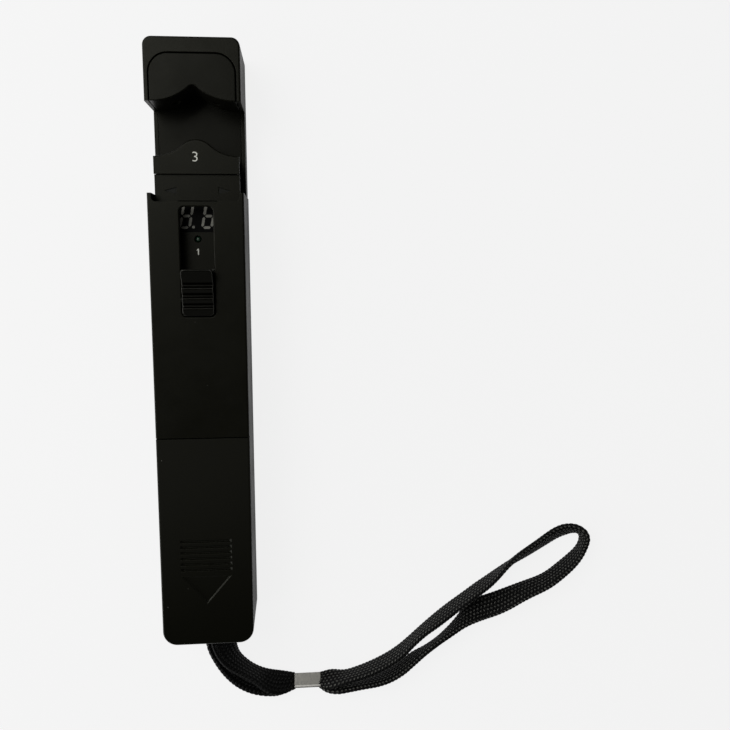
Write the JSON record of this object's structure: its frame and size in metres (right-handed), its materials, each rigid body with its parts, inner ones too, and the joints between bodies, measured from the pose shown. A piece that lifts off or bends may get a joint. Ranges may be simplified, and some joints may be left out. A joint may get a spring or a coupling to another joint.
{
  "type": "optical fiber identifier",
  "caption": "Handheld live-fibre identifier: hooked head, thumb-driven clamp carriage with lift-off adapter, digit display, sliding battery door and braided wrist strap.",
  "frame": {"origin": "middle of the back face that the case lies on, without the strap", "axes": "+X to the right seen from the front, +Y to the hooked head, +Z out of the front face"},
  "size_m": [0.1567, 0.2302, 0.0319],
  "materials": {
    "abs_black": "fine spark-eroded texture",
    "abs_insert": "smooth moulded",
    "lens_smoke": "smoked clear plastic",
    "display_black": "black display face",
    "lamp_green": "tinted lamp lens",
    "board_green": "solder mask",
    "chip_black": "moulded package",
    "chip_white": "moulded package",
    "connector_ivory": "moulded nylon",
    "ribbon_white": "polyester film",
    "flex_amber": "polyimide film",
    "can_steel": "plated can",
    "screw_steel": "zinc plated",
    "spring_steel": "drawn wire",
    "contact_brass": "rolled strip",
    "battery_can": "plain lacquered can",
    "foam_grey": "closed-cell foam",
    "lead_red": "vinyl lead",
    "lead_black": "vinyl lead",
    "strap_braid": "flat nylon braid",
    "ferrule_nickel": "nickel-plated crimped sleeve"
  },
  "bodies": {
    "base": {"rear_shell": "abs_black", "front_shell": "abs_black", "jaw_insert": "abs_insert", "photodiode_left": "can_steel", "photodiode_right": "can_steel", "detector_flex": "flex_amber", "slide_bed": "abs_insert", "main_board": "board_green", "board_chips": "chip_black", "flex_connectors": "connector_ivory", "board_screws": "screw_steel", "power_contact": "contact_brass", "display_ribbon": "ribbon_white", "return_spring_left": "spring_steel", "return_spring_right": "spring_steel", "battery": "battery_can", "battery_snap": "chip_black", "battery_pad": "foam_grey", "lead_red": "lead_red", "lead_black": "lead_black", "case_screws": "screw_steel", "strap_pin": "screw_steel", "strap_anchor_lower": "strap_braid", "strap_anchor_upper": "strap_braid", "strap_loop": "strap_braid", "strap_ferrule": "ferrule_nickel"},
    "carriage": {"carriage_frame": "abs_insert", "indicator_panel": "abs_black", "arrow_lens_left": "lens_smoke", "arrow_lens_right": "lens_smoke", "display_board": "board_green", "display_module": "display_black", "tone_led": "lamp_green", "arrow_led_left": "chip_white", "arrow_led_right": "chip_white", "ribbon_socket": "connector_ivory", "thumb_slider": "abs_insert", "slider_screws": "screw_steel"},
    "adapter": {"adapter_head": "abs_black"},
    "door": {"battery_door": "abs_black"}
  },
  "joints": [
    {"name": "carriage_slide", "type": "slide", "parent": "base", "child": "carriage", "axis": [0, 1, 0], "range_m": [0, 0.014], "stiffness_N_per_m": 120, "springref_m": -0.02, "deforming": ["return_spring_left", "return_spring_right", "display_ribbon"]},
    {"name": "adapter_lift", "type": "slide", "parent": "carriage", "child": "adapter", "axis": [0, 0, 1], "range_m": [0, 0.014]},
    {"name": "door_slide", "type": "slide", "parent": "base", "child": "door", "axis": [0, -1, 0], "range_m": [0, 0.06]}
  ]
}
